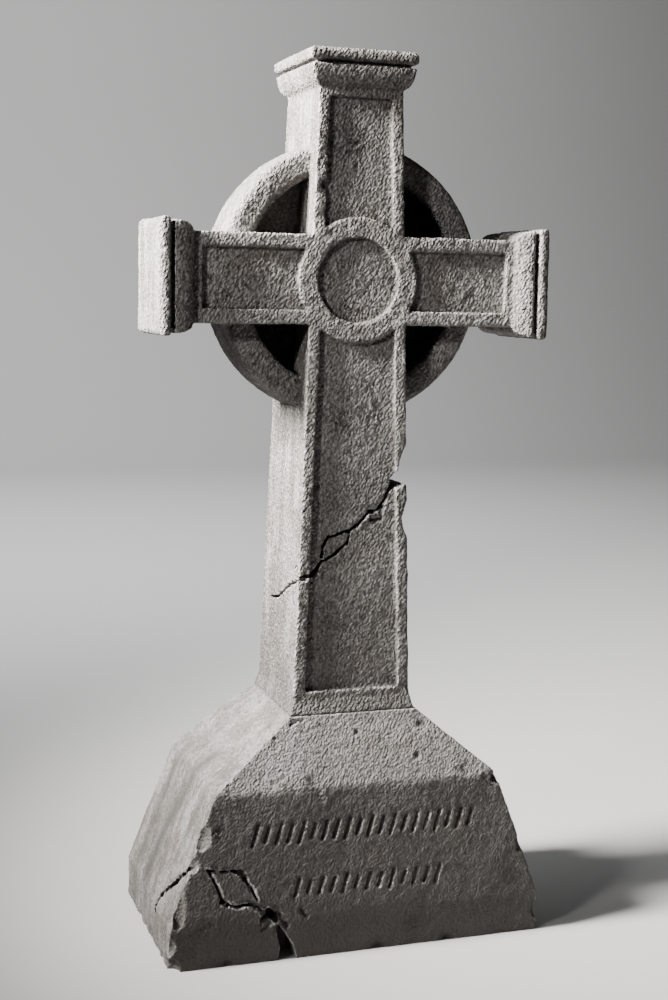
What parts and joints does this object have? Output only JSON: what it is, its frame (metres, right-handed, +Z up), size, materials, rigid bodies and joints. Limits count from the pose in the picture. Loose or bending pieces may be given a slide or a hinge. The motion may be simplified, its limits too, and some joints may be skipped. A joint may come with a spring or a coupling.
{
  "type": "celtic cross gravestone",
  "caption": "Free-standing celtic cross headstone: panelled cross with ringed head and moulded caps on a tall battered plinth, cracked and weathered.",
  "frame": {"origin": "middle of the plinth's underside", "axes": "+Z up along the shaft, -Y out of the carved front, +X to the right as seen from the front"},
  "size_m": [0.407, 0.213, 0.9],
  "materials": {
    "cross_stone": "rough stone-grey coat with pale worn grain and dark hollows",
    "plinth_stone": "rough stone-grey coat, a little browner, with dark runs on the left side"
  },
  "bodies": {
    "root": {"cross": "cross_stone", "plinth": "plinth_stone"}
  },
  "joints": []
}
